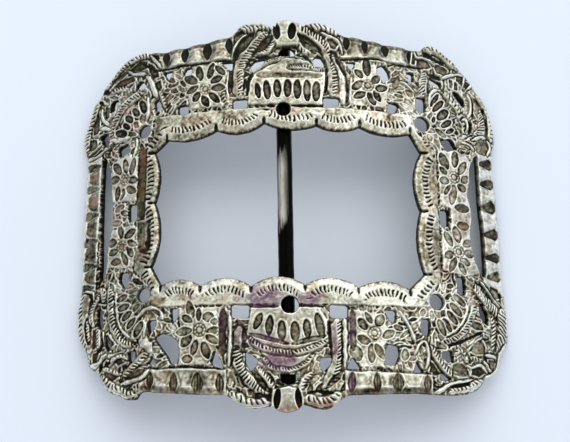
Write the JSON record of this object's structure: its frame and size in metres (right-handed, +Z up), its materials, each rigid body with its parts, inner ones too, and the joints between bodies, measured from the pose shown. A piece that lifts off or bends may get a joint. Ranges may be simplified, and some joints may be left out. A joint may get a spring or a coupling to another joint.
{
  "type": "arched strap buckle",
  "caption": "Large arched openwork buckle frame, cast and chased with flowers, fans and cartouches, with a plain round bar across its opening that a strap is fastened to.",
  "frame": {"origin": "under the middle of the buckle, on the surface that it stands on", "axes": "+X across the arch to the viewer's right, +Y along the bar to the upper crest, +Z up through the crown"},
  "size_m": [0.083, 0.0716, 0.0182],
  "materials": {
    "silver": "old silver, bright on the raised parts and olive black in the recesses",
    "steel": "dark polished steel"
  },
  "bodies": {
    "root": {"frame": "silver", "centre_bar": "steel"}
  },
  "joints": []
}
